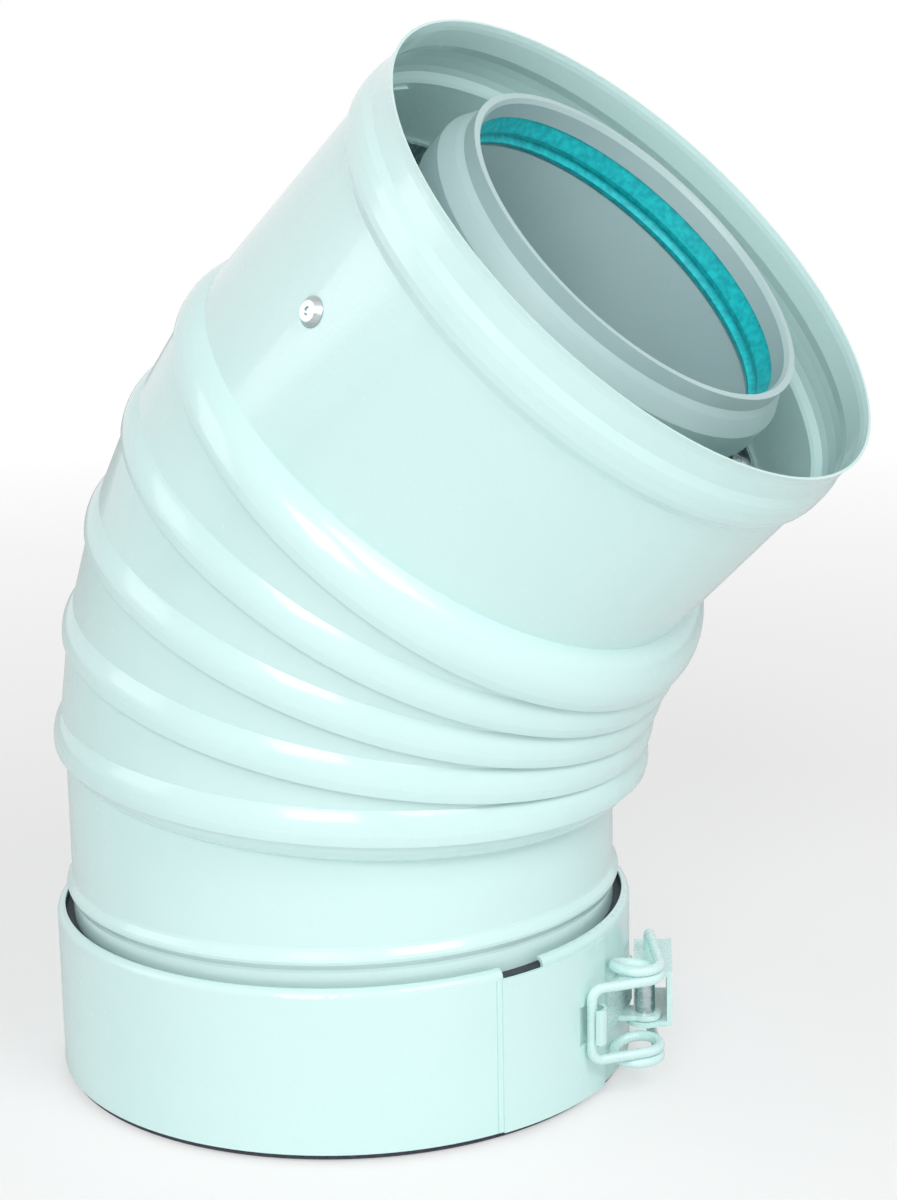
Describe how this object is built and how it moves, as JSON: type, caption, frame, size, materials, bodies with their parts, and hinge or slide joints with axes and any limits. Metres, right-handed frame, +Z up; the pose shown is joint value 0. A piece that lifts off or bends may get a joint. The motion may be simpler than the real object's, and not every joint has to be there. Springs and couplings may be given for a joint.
{
  "type": "concentric flue elbow",
  "caption": "Concentric boiler flue elbow: a segmented steel air pipe around a plastic flue pipe, with a latched clamp band on its lower end.",
  "frame": {"origin": "centre of the clamp's mouth, on the lower leg's axis at the plane of the lining's lower edge", "axes": "+Z up the lower leg, +X towards the side that the bend turns to"},
  "size_m": [0.1876, 0.1356, 0.2353],
  "materials": {
    "white_paint": "gloss powder coat",
    "grey_plastic": "satin moulded polypropylene",
    "turquoise_rubber": "satin",
    "black_rubber": "matt",
    "bare_steel": "bright zinc"
  },
  "bodies": {
    "root": {"lower_pipe": "white_paint", "gore_1": "white_paint", "gore_2": "white_paint", "gore_3": "white_paint", "gore_4": "white_paint", "upper_pipe": "white_paint", "inner_elbow": "grey_plastic", "lip_seal": "turquoise_rubber", "upper_spacer": "bare_steel", "lower_spacer": "bare_steel", "spacer_rivets": "bare_steel", "rivet_mandrels": "bare_steel", "clamp_band": "white_paint", "clamp_lining": "black_rubber", "latch_bracket": "white_paint", "pivot_pin": "bare_steel"},
    "lever": {"latch_lever": "white_paint"},
    "bail": {"wire_bail": "white_paint"}
  },
  "joints": [
    {"name": "lever_swing", "type": "hinge", "parent": "root", "child": "lever", "pos_m": [0.07057, 0.01454, 0.019], "axis": [0, 0, -1], "range_deg": [0, 80]},
    {"name": "bail_swing", "type": "hinge", "parent": "lever", "child": "bail", "pos_m": [0.06632, 0.02523, 0.019], "axis": [0, 0, 1], "range_deg": [0, 54]}
  ],
  "couplings": [
    {"joint": "bail_swing", "follows": "lever_swing", "ratio": 0.675}
  ]
}
